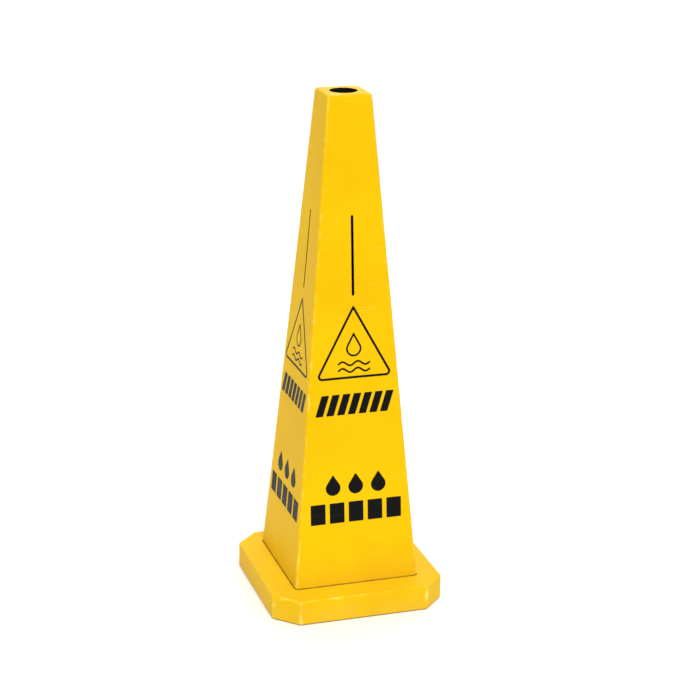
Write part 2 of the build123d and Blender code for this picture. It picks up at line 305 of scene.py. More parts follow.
def build_cone():
    """The cone's whole skin, as one closed profile of outlines.

    From the root of the flange it goes up the outside, over the crown, down the socket, back along the
    ceiling, down the inside and out under the flange. The slots are cells left out of both skins.
    """
    levels = wall_levels()
    half = cone_half(levels)
    outside = panel_walls(half, EDGE_RADIUS, levels)

    rise, reach = arc(math.degrees(TAPER), 90, 9)
    centre = cone_half(TOP - CROWN_RADIUS * (1 - math.sin(TAPER))) - CROWN_RADIUS * math.cos(TAPER)
    crown_half = centre + CROWN_RADIUS * reach
    crown_radius = EDGE_RADIUS - (crown_half[0] - crown_half)
    crown = at_height(rounded_square(crown_half, crown_radius), TOP - CROWN_RADIUS * (1 - rise))

    last = rounded_square(crown_half[-1:], crown_radius[-1:])
    mouth = SOCKET_RADIUS + SOCKET_LIP
    shares = np.linspace(0, 1, 5)[1:-1].reshape(-1, 1, 1)
    top_face = at_height(last + shares * (circle_like(last, mouth) - last), TOP)
    lip = at_height(circle_like(last, mouth - SOCKET_LIP * SMALL_SIN), TOP - SOCKET_LIP * (1 - SMALL_COS))
    tube_outer = SOCKET_RADIUS + SOCKET_WALL
    socket_radii = np.repeat([SOCKET_RADIUS, tube_outer], 3)
    socket_depths = np.array([0.009, 0.017, SOCKET_DEPTH, SOCKET_DEPTH, 0.012, WALL])
    socket = at_height(circle_like(last, socket_radii), TOP - socket_depths)

    inner_radius = EDGE_RADIUS - WALL
    tube_top = circle_like(last, tube_outer)
    ceiling_edge = rounded_square(cone_half(TOP - WALL) - WALL_ACROSS, inner_radius)
    halves = np.array([0.5, 1.0]).reshape(-1, 1, 1)
    ceiling = at_height(tube_top + halves * (ceiling_edge - tube_top), TOP - WALL)
    inside = panel_walls(half - WALL_ACROSS, inner_radius, levels)[::-1]

    foot_edge = at_height(
        rounded_square(cone_half(FLANGE_UNDER) - WALL_ACROSS, inner_radius), FLANGE_UNDER
    )
    flange = at_height(
        soft_octagon(FLANGE_HALF, cut_for(FLANGE_HALF), FLANGE_EDGE), [FLANGE_UNDER, FLANGE_TOP]
    )
    spread = ROOT_RADIUS * (1 - SMALL_SIN)
    root = at_height(
        rounded_square(cone_half(FLANGE_TOP) + spread, EDGE_RADIUS + spread),
        FLANGE_TOP + ROOT_RADIUS * (1 - SMALL_COS),
    )[:-1]

    skins = [outside, crown, top_face, lip, socket, ceiling, inside]
    rows = np.concatenate(skins + [foot_edge, flange, root])
    foot_row = sum(len(skin) for skin in skins) - 1
    low, high = (int(np.argmin(abs(levels - end))) for end in (SLOT_LOW, SLOT_HIGH))
    quads = ring_quads(len(rows), 4 * QUARTER, slot_cells(low, high, foot_row, len(rows)))
    return make_piece("cone_moulding", rows, np.concatenate([quads, slot_walls(low, high, foot_row)]))


cone_moulding = build_cone()
soften_edges(cone_moulding, 0.0004)


def points_of(piece):
    """All points of a piece's mesh as rows of x, y, z."""
    flat = np.zeros(len(piece.data.vertices) * 3)
    piece.data.vertices.foreach_get("co", flat)
    return flat.reshape(-1, 3)


def mark(piece, name, values):
    """Stores a number for each point, which the materials read as an attribute."""
    attribute = piece.data.attributes.new(name, "FLOAT", "POINT")
    attribute.data.foreach_set("value", np.asarray(values, np.float32).ravel())


def worn_edge(points):
    """1 on the four long edges and on the rim of the top, fading to 0 within a few millimetres."""
    beyond = np.minimum(np.abs(points[:, 0]), np.abs(points[:, 1])) - cone_half(points[:, 2]) + EDGE_RADIUS
    edge = np.clip(beyond / EDGE_RADIUS + 0.35, 0, 1)
    rim = np.clip(1 - (TOP - points[:, 2]) / 0.006, 0, 1)
    return np.maximum(edge, rim)


def hollow_shade_mask(points):
    """1 for points deeper than half the wall inside the outer skin: the hollow's walls, the socket and the
    slots' walls, which get painted black shade.

    The depth is the distance to a square with round corners, as wide as the cone at the point's height.
    """
    beyond = np.abs(points[:, :2]) - (cone_half(points[:, 2]) - EDGE_RADIUS)[:, None]
    outside = np.linalg.norm(np.maximum(beyond, 0), axis=1)
    depth = EDGE_RADIUS - outside - np.minimum(beyond.max(axis=1), 0)
    in_socket = np.linalg.norm(points[:, :2], axis=1) < SOCKET_RADIUS + SOCKET_WALL + 0.0003
    below_top = points[:, 2] < np.where(in_socket, TOP - 0.6 * SOCKET_LIP, TOP - WALL + 0.0001)
    above_foot = points[:, 2] > FLANGE_UNDER + 0.0005
    return np.where((depth > WALL / 2) & below_top & above_foot, 1.0, 0.0)


mark(cone_moulding, "edge", worn_edge(points_of(cone_moulding)))
# Marks the hollow, the socket's bore and the slots' walls for painted black shade.
mark(cone_moulding, "hollow_shade", hollow_shade_mask(points_of(cone_moulding)))


def put(tree, kind, inputs=None, **settings):
    """Adds a shader node. Each input is a number, a colour, or another node's output to link from."""
    made = tree.nodes.new(kind)
    for name, value in settings.items():
        setattr(made, name, value)
    for name, value in (inputs or {}).items():
        if isinstance(value, bpy.types.NodeSocket):
            tree.links.new(value, made.inputs[name])
        else:
            made.inputs[name].default_value = value
    return made


def maths(tree, operation, *values):
    """The result of a Math node on numbers or other nodes' outputs."""
    return put(tree, "ShaderNodeMath", dict(enumerate(values)), operation=operation).outputs[0]


def vectors(tree, operation, *values):
    """The result of a Vector Math node on vectors or other nodes' outputs."""
    made = put(tree, "ShaderNodeVectorMath", dict(enumerate(values)), operation=operation)
    return made.outputs["Value" if operation == "LENGTH" else "Vector"]


def split(tree, vector):
    """The outputs X, Y and Z of a vector."""
    return put(tree, "ShaderNodeSeparateXYZ", {0: vector}).outputs


def noise(tree, place, scale, detail, roughness):
    """A noise between 0 and 1 with this many waves to a metre."""
    values = {"Vector": place, "Scale": scale, "Detail": detail, "Roughness": roughness}
    return put(tree, "ShaderNodeTexNoise", values).outputs["Fac"]


def ramp(tree, value, start, end, low=0.0, high=1.0, kind="LINEAR"):
    """Goes from low, where the value is start, to high, where it is end, and is held beyond both."""
    values = {"Value": value, "From Min": start, "From Max": end, "To Min": low, "To Max": high}
    return put(tree, "ShaderNodeMapRange", values, interpolation_type=kind).outputs[0]


def mix_colour(tree, share, first, second):
    """The first colour, with this share of the second in it."""
    first, second = ((*c, 1.0) if isinstance(c, tuple) else c for c in (first, second))
    return put(tree, "ShaderNodeMix", {0: share, 6: first, 7: second}, data_type="RGBA").outputs[2]


def start_group(name, **usual):
    """A shader node group that takes Vector and these numbers; gives the tree, Vector and the numbers."""
    tree = bpy.data.node_groups.new(name, "ShaderNodeTree")
    tree.interface.new_socket("Vector", in_out="INPUT", socket_type="NodeSocketVector")
    for socket_name, value in usual.items():
        socket = tree.interface.new_socket(socket_name, in_out="INPUT", socket_type="NodeSocketFloat")
        socket.default_value = value
    given = tree.nodes.new("NodeGroupInput").outputs
    return tree, *(given[socket_name] for socket_name in ("Vector", *usual))


def end_group(tree, **outputs):
    """Gives a group these numbers to put out."""
    for socket_name in outputs:
        tree.interface.new_socket(socket_name, in_out="OUTPUT", socket_type="NodeSocketFloat")
    ends = tree.nodes.new("NodeGroupOutput").inputs
    for socket_name, value in outputs.items():
        tree.links.new(value, ends[socket_name])
    return tree


def make_grain_group():
    """Moulded grain: fine pebbles on slow ripples, as one height, and the pebbles alone as a mask."""
    tree, place, scale, ripple = start_group("moulded grain", Scale=900.0, Ripple=0.4)
    cells = put(tree, "ShaderNodeTexVoronoi", {"Vector": place, "Scale": scale}, feature="SMOOTH_F1")
    pebbles = cells.outputs["Distance"]
    slow = maths(tree, "MULTIPLY", noise(tree, place, 22.0, 3.0, 0.45), ripple)
    both = maths(tree, "MULTIPLY_ADD", noise(tree, place, 260.0, 4.0, 0.6), 0.5, slow)
    return end_group(tree, Height=maths(tree, "MULTIPLY_ADD", pebbles, 0.35, both), Pebbles=pebbles)


def laid_flat(tree, vector):
    """The place on whichever way a face looks: across it, up it, and a step between faces."""
    place = split(tree, vector)
    normal = split(tree, put(tree, "ShaderNodeNewGeometry").outputs["True Normal"])
    size_x, size_y, size_z = (maths(tree, "ABSOLUTE", normal[axis]) for axis in "XYZ")
    to_side_face = maths(tree, "GREATER_THAN", size_x, size_y)
    to_top_face = maths(tree, "GREATER_THAN", size_z, 0.7)
    across = {"Factor": to_side_face, "A": place["X"], "B": place["Y"]}
    up = {"Factor": to_top_face, "A": place["Z"], "B": place["Y"]}
    places = [put(tree, "ShaderNodeMix", values, data_type="FLOAT").outputs[0] for values in (across, up)]
    step = maths(tree, "ROUND", maths(tree, "SUBTRACT", normal["X"], normal["Y"]))
    return put(tree, "ShaderNodeCombineXYZ", {0: places[0], 1: places[1], 2: step}).outputs[0]


def make_wear_group():
    """Handling wear: broken rubbing along the edges that Edge marks, and long thin scratches on the flats.

    A scratch is where one of three noises, drawn out long and thin and turned three ways, peaks.
    """
    tree, place, edge, amount = start_group("handling wear", Edge=0.0, Amount=0.5)
    patches = maths(tree, "MULTIPLY_ADD", edge, amount, noise(tree, place, 42.0, 7.0, 0.62))
    rubbed = ramp(tree, patches, 0.88, 1.16, kind="SMOOTHSTEP")
    flat = laid_flat(tree, place)
    lines = []
    for turn, across, along in ((0.9, 430.0, 9.0), (-0.55, 520.0, 12.0), (1.45, 380.0, 10.0)):
        laid = {"Vector": flat, "Rotation": (0.0, 0.0, turn), "Scale": (along, across, 3.0)}
        turned = put(tree, "ShaderNodeMapping", laid).outputs[0]
        lines.append(noise(tree, turned, 1.0, 1.0, 0.5))
    scored = maths(tree, "MAXIMUM", maths(tree, "MAXIMUM", lines[0], lines[1]), lines[2])
    here = maths(tree, "MULTIPLY_ADD", noise(tree, place, 9.0, 2.0, 0.5), 0.25, scored)
    return end_group(tree, Rubbed=rubbed, Scratches=ramp(tree, here, 0.87, 0.92))


def make_dust_group():
    """Dust and mop splash: thick near the floor and thinner on faces that look up, broken by a noise."""
    tree, place, reach, amount = start_group("floor dust", Reach=0.12, Amount=0.6)
    low = ramp(tree, split(tree, place)["Z"], reach, 0.0, kind="SMOOTHSTEP")
    facing = split(tree, put(tree, "ShaderNodeNewGeometry").outputs["Normal"])
    where = maths(tree, "MAXIMUM", low, ramp(tree, facing["Z"], 0.5, 1.0, 0.0, 0.45))
    broken = ramp(tree, noise(tree, place, 55.0, 7.0, 0.7), 0.35, 0.75, 0.15, 1.0)
    return end_group(tree, Dust=maths(tree, "MULTIPLY", maths(tree, "MULTIPLY", where, broken), amount))


def make_crease_shade_group():
    """Painted shade in the crease where the cone passes through the deck, thinning out unevenly with
    distance.

    The distance is measured from the outline of the cone at the deck: a square with round corners.
    """
    tree, place, reach = start_group("painted crease shade", Reach=0.003)
    straight = FOOT_HALF - EDGE_RADIUS
    size = vectors(tree, "ABSOLUTE", vectors(tree, "MULTIPLY", place, (1.0, 1.0, 0.0)))
    beyond = vectors(tree, "SUBTRACT", size, (straight, straight, 0.0))
    past = vectors(tree, "LENGTH", vectors(tree, "MAXIMUM", beyond, (0.0, 0.0, 0.0)))
    out_from = maths(tree, "SUBTRACT", past, EDGE_RADIUS)
    up_from = maths(tree, "SUBTRACT", split(tree, place)["Z"], DECK_TOP)
    gap = vectors(tree, "LENGTH", put(tree, "ShaderNodeCombineXYZ", {0: out_from, 1: up_from}).outputs[0])
    farther = maths(tree, "MULTIPLY_ADD", noise(tree, place, 130.0, 4.0, 0.6), 0.0024, gap)
    return end_group(tree, Grime=ramp(tree, farther, reach, 0.0012, kind="SMOOTHSTEP"))


GRAIN = make_grain_group()
CREASE_SHADE = make_crease_shade_group()
WEAR = make_wear_group()
DUST = make_dust_group()


def use_group(tree, group, place, **values):
    """The outputs of a shared group that is placed in a material with its own values."""
    return put(tree, "ShaderNodeGroup", {"Vector": place, **values}, node_tree=group).outputs


def start_material(name):
    """A new material; gives it with its tree, its Principled shader's inputs and Object coordinates."""
    material = bpy.data.materials.new(name)
    material.use_nodes = True
    tree = material.node_tree
    place = tree.nodes.new("ShaderNodeTexCoord").outputs["Object"]
    return material, tree, tree.nodes["Principled BSDF"].inputs, place


def link_finish(tree, shader, colour, rough, height, depth):
    """Links a colour, a roughness, and a height of this depth in metres as bump, to the shader."""
    bump = put(tree, "ShaderNodeBump", {"Height": height, "Distance": depth, "Strength": 1.0})
    tree.links.new(colour, shader["Base Color"])
    tree.links.new(rough, shader["Roughness"])
    tree.links.new(bump.outputs["Normal"], shader["Normal"])


YELLOW = (0.88, 0.540, 0.0018)
YELLOW_DEEP = (0.82, 0.478, 0.0012)
YELLOW_RUBBED = (0.94, 0.70, 0.12)
# Painted shade: the black laid over the hollow's skin, the socket's bore and the slots' walls.
HOLLOW_SHADE_BLACK = (0.010, 0.0095, 0.009)
DUST_GREY = (0.42, 0.33, 0.17)
# Painted shade: the brown-black that darkens the crease where the cone meets the deck.
CREASE_SHADE_BROWN = (0.10, 0.060, 0.018)


def moulded_yellow(name, pebble_scale, wear_amount, dust_reach, dust_amount, crease_shade_amount):
    """Yellow polyethylene: slow tone changes, pebble grain, rubbed edges, scratches, dust, and a brown
    painted shade in the crease at the deck.

    It is painted black, as shade, over the skin of the hollow, the socket's bore and the slots' walls, which
    a point attribute marks.
    """
    material, tree, shader, place = start_material(name)
    clouds = ramp(tree, noise(tree, place, 6.0, 4.0, 0.55), 0.34, 0.68)
    colour = mix_colour(tree, clouds, YELLOW, YELLOW_DEEP)
    edge = put(tree, "ShaderNodeAttribute", attribute_name="edge").outputs["Fac"]
    wear = use_group(tree, WEAR, place, Edge=edge, Amount=wear_amount)
    colour = mix_colour(tree, wear["Rubbed"], colour, YELLOW_RUBBED)
    colour = mix_colour(tree, maths(tree, "MULTIPLY", wear["Scratches"], 0.35), colour, YELLOW_RUBBED)
    dust = use_group(tree, DUST, place, Reach=dust_reach, Amount=dust_amount)["Dust"]
    colour = mix_colour(tree, dust, colour, DUST_GREY)
    # Painted shade: darkens the crease round the cone's foot at the deck, fading with distance.
    line = use_group(tree, CREASE_SHADE, place, Reach=0.0036)["Grime"]
    colour = mix_colour(tree, maths(tree, "MULTIPLY", line, crease_shade_amount), colour, CREASE_SHADE_BROWN)
    # Painted shade: black over the hollow's skin, the socket's bore and the slots' walls.
    depth = put(tree, "ShaderNodeAttribute", attribute_name="hollow_shade").outputs["Fac"]
    colour = mix_colour(tree, ramp(tree, depth, 0.06, 0.12), colour, HOLLOW_SHADE_BLACK)
    grain = use_group(tree, GRAIN, place, Scale=pebble_scale, Ripple=0.8)
    rough = ramp(tree, grain["Pebbles"], 0.1, 0.7, 0.46, 0.58)
    rough = maths(tree, "MULTIPLY_ADD", wear["Rubbed"], 0.22, rough)
    rough = maths(tree, "MULTIPLY_ADD", dust, 0.5, rough)
    link_finish(tree, shader, colour, rough, grain["Height"], 0.0006)
    shader["IOR"].default_value = 1.30
    shader["Specular IOR Level"].default_value = 0.18
    shader["Specular Tint"].default_value = (1.0, 0.86, 0.45, 1.0)
    return material


CONE_YELLOW = moulded_yellow("moulded yellow, cone", 800.0, 0.45, 0.12, 0.16, 0.75)
cone_moulding.data.materials.append(CONE_YELLOW)
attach(cone_moulding, "cone")
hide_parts("cone_body")


# ---- socket gussets
# Four thin plates inside the top, moulded with it, that tie the socket's tube to the cone's walls.

GUSSET = 0.0025
BITE = 0.0004


def plate(side, across, near, far, z):
    """A flat plate across a side, as a square tube of rows: four corners at each height."""
    reach = np.stack(np.broadcast_arrays(near, far, far, near), axis=-1)
    across = across + 0 * reach
    return np.stack([*to_side(side, across, reach), z[:, None] + 0 * reach], axis=-1)


def gusset_plate(side):
    """A plate from the tube to the wall: its outer end follows the wall's slope."""
    z = np.linspace(TOP - SOCKET_DEPTH, TOP - WALL + 0.0005, 7)
    across = np.array([-1.0, -1.0, 1.0, 1.0]) * GUSSET / 2
    near = SOCKET_RADIUS + SOCKET_WALL - BITE
    return plate(side, across, near, cone_half(z) - WALL_ACROSS + BITE, z)


def capped(rows):
    """Rows of a tube, with the middle of each end added as a row of its own, which closes the tube."""
    first, last = (0 * row + row.mean(axis=1, keepdims=True) for row in (rows[:1], rows[-1:]))
    return np.concatenate([first, rows, last])


def make_grids(name, grids, sharp_degrees=38.0):
    """One piece from several grids: each is given with the way that it doesn't close on itself."""
    faces, start = [], 0
    for grid, stays_open in grids:
        rows, columns = grid.shape[:2]
        quads = ring_quads(rows, columns).reshape(rows, columns, 4)
        quads = quads[:-1] if stays_open == "rows" else quads
        quads = quads[:, :-1] if stays_open == "columns" else quads
        faces.append(quads.reshape(-1, 4) + start)
        start += rows * columns
    points = np.concatenate([grid.reshape(-1, 3) for grid, _ in grids])
    return make_piece(name, points, np.concatenate(faces), sharp_degrees)


socket_gussets = make_grids("socket_gussets", [(capped(gusset_plate(side)), "rows") for side in range(4)])
soften_edges(socket_gussets, 0.0003)
socket_gussets.data.materials.append(CONE_YELLOW)
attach(socket_gussets, "cone")


# ---- warning films
# Black self-adhesive vinyl, cut to shape and pressed onto each panel: an outlined triangle with a drop
# over two waves, a row of slanted bars, a row of drops and a row of floor tiles. Each film is 0.3 mm thick.

SIDES = ("front", "right", "back", "left")
FILM = 0.0003
FILM_SUNK = 0.00006
FILM_ROUND = 0.00009
FILM_SHARP = 26.0
TRIANGLE_TOP = 0.554
TRIANGLE_HEIGHT = 0.130
TRIANGLE_MARGIN = 0.0105
TRIANGLE_RADII = np.array([0.008, 0.008, 0.002])
INNER_RADIUS = 0.0006
OUTLINE = 0.004
SYMBOL_LINE = 0.0032
SYMBOL_LIFT = 0.015
DROP_RADIUS, DROP_HEIGHT, DROP_TIP, INNER_TIP = 0.014, 0.042, 0.0012, 0.0003
WAVE_LENGTH, WAVE_HEIGHT, WAVE_PITCH = 0.056, 0.0034, 0.012
ROW_HEIGHT = 0.037
ROW_RADIUS = 0.0012
BARS = {"top": 0.397, "margin": 0.014, "count": 7, "gap": 0.006, "slant": 0.012}
DROPS_TOP, DROPS_MARGIN, DROPS_COUNT, SMALL_DROP = 0.252, 0.043, 3, 0.0135
TILES = {"top": 0.201, "margin": 0.019, "count": 5, "gap": 0.008, "slant": 0.0}

# Lifts off the panel round a film's section: under its edge, over its top and back underneath.
OVER = [FILM - FILM_ROUND, FILM, FILM, FILM, FILM - FILM_ROUND]
LINE_LIFT = np.array([-FILM_SUNK, *OVER, -FILM_SUNK, -FILM_SUNK])[:, None]
SLAB_LIFT = np.array([FILM, FILM, FILM, *OVER[3:], *[-FILM_SUNK] * 4])[:, None]


def on_panel(side, across, up, lift, height):
    """Points on a side's panel: so far across, so far up its slope from a height, lifted off the skin."""
    middle = height + up * math.cos(TAPER)
    z = middle + lift * math.sin(TAPER)
    share = across / (cone_half(z) - EDGE_RADIUS)
    out = cone_half(middle) - panel_sink(side, share, z) + lift * math.cos(TAPER)
    return np.stack([*to_side(side, across, out), z], axis=-1)


def rounded_polygon(corners, radii, arc_steps=7, side_steps=6):
    """Outline of a polygon, corners given anticlockwise, with an arc in each corner.

    Each arc turns about the point that is one radius inside both of its sides, and even steps along
    the sides join the arcs.
    """
    corners, radii = np.asarray(corners, float), np.asarray(radii, float)[:, None]
    before = corners - np.roll(corners, 1, axis=0)
    after = np.roll(corners, -1, axis=0) - corners
    before /= np.linalg.norm(before, axis=1, keepdims=True)
    after /= np.linalg.norm(after, axis=1, keepdims=True)
    turn = np.arccos(np.clip((before * after).sum(1, keepdims=True), -1, 1))
    inwards = np.stack([-before[:, 1], before[:, 0]], axis=-1)
    centre = corners - before * radii * np.tan(turn / 2) + inwards * radii
    start = np.arctan2(-inwards[:, 1:], -inwards[:, :1])
    angle = start + turn * np.linspace(0, 1, arc_steps)
    bends = centre[:, None] + radii[:, None] * np.stack([np.cos(angle), np.sin(angle)], axis=-1)
    following = np.roll(bends[:, :1], -1, axis=0)
    shares = np.linspace(0, 1, side_steps + 1)[1:-1].reshape(1, -1, 1)
    sides = bends[:, -1:] + shares * (following - bends[:, -1:])
    return np.concatenate([bends, sides], axis=1).reshape(-1, 2)


def drop_outline(radius, length, tip):
    """Outline of a drop: the point with its normal at each angle, on the bowl's circle or the tip's.

    It lies on the tip's small circle where the normal points up more steeply than the flanks do.
    """
    bowl, point = radius - length / 2, length / 2 - tip
    angle = np.linspace(0, 2 * math.pi, 72, endpoint=False)
    at_tip = np.sin(angle) > (radius - tip) / (point - bowl)
    size, centre = np.where(at_tip, tip, radius), np.where(at_tip, point, bowl)
    return np.stack([size * np.cos(angle), centre + size * np.sin(angle)], axis=-1)


def inner_drop(radius, length, tip, line):
    """The drop's outline moved in by the line's width, its flanks still parallel to the outer ones."""
    bowl, point = radius - length / 2, length / 2 - tip
    steep = (radius - tip) / (point - bowl)
    low = bowl - (radius - line)
    high = bowl + (radius - line - INNER_TIP) / steep + INNER_TIP
    return drop_outline(radius - line, high - low, INNER_TIP) + np.array([0, (high + low) / 2])


def solid_slab(side, outline, height):
    """A flat shape of film: rings drawn in towards its middle, on top, round the edge and underneath."""
    middle = outline.mean(axis=0)
    edge = 1 - FILM_ROUND / np.linalg.norm(outline - middle, axis=1).mean()
    scale = np.array([0, 0.35, 0.7, edge, 1, 1, 0.7, 0.35, 0])[:, None, None]
    flat = middle + scale * (outline - middle)
    return on_panel(side, flat[..., 0], flat[..., 1], SLAB_LIFT, height)


def line_slab(side, outer, inner, height):
    """A closed line of film between an outer and an inner outline: over the top, then underneath."""
    share = np.array([0, 0, 0.03, 0.5, 0.97, 1, 1, 0.5])[:, None, None]
    flat = outer + share * (inner - outer)
    return on_panel(side, flat[..., 0], flat[..., 1], LINE_LIFT, height)


def wave_slab(side, lower, height):
    """A wavy line of film: a sine's two edges, which close in half circles at its ends."""
    along = np.sin(np.linspace(-math.pi / 2, math.pi / 2, 121)) * (WAVE_LENGTH + SYMBOL_LINE) / 2
    centre = np.clip(along, -WAVE_LENGTH / 2, WAVE_LENGTH / 2)
    turns = 4 * math.pi / WAVE_LENGTH
    slope = WAVE_HEIGHT * turns * np.cos(turns * centre)
    length = np.sqrt(1 + slope**2)
    past = along - centre
    width = np.sqrt(np.clip((SYMBOL_LINE / 2) ** 2 - past**2, 0, None))
    share = np.array([1, 1, 0.94, 0, -0.94, -1, -1, 0])[:, None]
    across = centre + (past - share * width * slope) / length
    up = lower + WAVE_HEIGHT * np.sin(turns * centre) + (past * slope + share * width) / length
    return on_panel(side, across, up, LINE_LIFT, height)


def triangle_slabs(side):
    """The outlined triangle, the outlined drop and the two waves."""
    middle = TRIANGLE_TOP - TRIANGLE_HEIGHT / 2
    half = cone_half(TRIANGLE_TOP - TRIANGLE_HEIGHT) - TRIANGLE_MARGIN
    foot = -TRIANGLE_HEIGHT / 2 / math.cos(TAPER)
    corners = np.array([(-half, foot), (half, foot), (0, -foot)])
    sides = np.linalg.norm(np.roll(corners, 1, axis=0) - np.roll(corners, -1, axis=0), axis=1)
    centre = (sides[:, None] * corners).sum(axis=0) / sides.sum()
    shrink = 1 - OUTLINE / (centre[1] - foot)
    outer = rounded_polygon(corners, TRIANGLE_RADII, 9, 14)
    inner_radii = np.maximum(TRIANGLE_RADII - OUTLINE, INNER_RADIUS)
    inner = rounded_polygon(centre + (corners - centre) * shrink, inner_radii, 9, 14)
    lower_wave = foot + SYMBOL_LIFT
    drop_at = np.array([0, lower_wave + 2 * WAVE_PITCH + DROP_HEIGHT / 2])
    drop_outer = drop_outline(DROP_RADIUS, DROP_HEIGHT, DROP_TIP) + drop_at
    drop_inner = inner_drop(DROP_RADIUS, DROP_HEIGHT, DROP_TIP, SYMBOL_LINE) + drop_at
    return [
        (line_slab(side, outer, inner, middle), "none"),
        (line_slab(side, drop_outer, drop_inner, middle), "none"),
        (wave_slab(side, lower_wave, middle), "columns"),
        (wave_slab(side, lower_wave + WAVE_PITCH, middle), "columns"),
    ]


def row_slabs(side, outline, height, places):
    """The same flat shape at each place along a row."""
    return [(solid_slab(side, outline + np.array([place, 0]), height), "rows") for place in places]


def four_sided_slabs(side, top, margin, count, gap, slant):
    """A row of shapes with four rounded corners, which fills the panel's width inside the margins."""
    height = top - ROW_HEIGHT / 2
    pitch = (2 * (cone_half(height) - margin) - slant + gap) / count
    half, low, lean = (pitch - gap) / 2, -ROW_HEIGHT / 2, slant / 2
    corners = [(-half - lean, low), (half - lean, low), (half + lean, -low), (lean - half, -low)]
    outline = rounded_polygon(corners, np.full(4, ROW_RADIUS))
    return row_slabs(side, outline, height, (np.arange(count) - (count - 1) / 2) * pitch)


def drop_slabs(side):
    """Solid water drops, the outer two against the row's margins."""
    height = DROPS_TOP - ROW_HEIGHT / 2
    reach = cone_half(height) - DROPS_MARGIN - SMALL_DROP
    outline = drop_outline(SMALL_DROP, ROW_HEIGHT, DROP_TIP)
    return row_slabs(side, outline, height, np.linspace(-reach, reach, DROPS_COUNT))


FILM_BLACK = (0.0025, 0.0024, 0.0023)
FILM_SCUFFED = (0.040, 0.036, 0.030)


def black_vinyl():
    """Vinyl film: an even, slightly soft black, with faint rubbing and scratches that catch the light."""
    material, tree, shader, place = start_material("black vinyl film")
    wear = use_group(tree, WEAR, place, Edge=1.0, Amount=0.30)
    colour = mix_colour(tree, maths(tree, "MULTIPLY", wear["Rubbed"], 0.55), FILM_BLACK, FILM_SCUFFED)
    colour = mix_colour(tree, maths(tree, "MULTIPLY", wear["Scratches"], 0.6), colour, FILM_SCUFFED)
    rough = ramp(tree, noise(tree, place, 40.0, 5.0, 0.6), 0.3, 0.7, 0.40, 0.54)
    grain = use_group(tree, GRAIN, place, Scale=2400.0, Ripple=0.5)
    link_finish(tree, shader, colour, rough, grain["Height"], 0.00005)
    shader["IOR"].default_value = 1.30
    shader["Specular IOR Level"].default_value = 0.25
    return material


BLACK_VINYL = black_vinyl()
FILMS = {
    "warning_triangle": triangle_slabs,
    "hazard_bars": lambda side: four_sided_slabs(side, **BARS),
    "drop_row": drop_slabs,
    "tile_row": lambda side: four_sided_slabs(side, **TILES),
}
for side, side_name in enumerate(SIDES):
    for film_name, slabs in FILMS.items():
        film = make_grids(f"{side_name}_{film_name}_film", slabs(side), FILM_SHARP)
        film.data.materials.append(BLACK_VINYL)
        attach(film, "cone")
        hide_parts(f"{side_name}_{film_name}")


# ---- foot pads
# Eight discs of black rubber bonded into the foot flange, each with a grip groove in its face. They keep
# their shape from the frame and get the finish of moulded rubber that has stood on floors.

RUBBER = (0.022, 0.021, 0.020)
RUBBER_PALE = (0.035, 0.033, 0.031)


def pad_rubber():
    """Black rubber with fine pores and floor dust in them."""
    material, tree, shader, place = start_material("foot pad rubber")
    dust = use_group(tree, DUST, place, Reach=0.006, Amount=0.2)["Dust"]
    tone = noise(tree, place, 300.0, 5.0, 0.6)
    colour = mix_colour(tree, dust, mix_colour(tree, tone, RUBBER, RUBBER_PALE), DUST_GREY)
    rough = ramp(tree, tone, 0.3, 0.7, 0.68, 0.86)
    grain = use_group(tree, GRAIN, place, Scale=2600.0, Ripple=0.1)
    link_finish(tree, shader, colour, rough, grain["Height"], 0.00008)
    return material


PAD_RUBBER = pad_rubber()
for node_name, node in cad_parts.items():
    if node_name.startswith("foot_pad_"):
        node.material_slots[0].material = PAD_RUBBER


# ---- the weighted base
# An octagonal shell of the same yellow polyethylene, injection moulded: a skirt, a deck that slopes up
# to the cone so that water runs off, and a guide wall that follows the cone. It drops over the cone.

SKIRT_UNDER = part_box("base_shell")[0].z
COVER_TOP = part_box("base_cover")[1].z
DECK_EDGE = 0.046
DECK_UNDER = DECK_EDGE - 0.0035
DECK_SAG = 0.0005
SHELL_WALL = 0.0035
RIM_RADIUS = 0.0026
RIM_LEAST = 0.15
INNER_EDGE = 0.0006
FOOT_EASE = 0.0008
GUIDE_CLEARANCE = 0.0005
GUIDE_WALL = 0.003
GUIDE_LIP = 0.0009


def guide_inside(z):
    """Half the width of the opening for the cone at height z."""
    return cone_half(z) + GUIDE_CLEARANCE


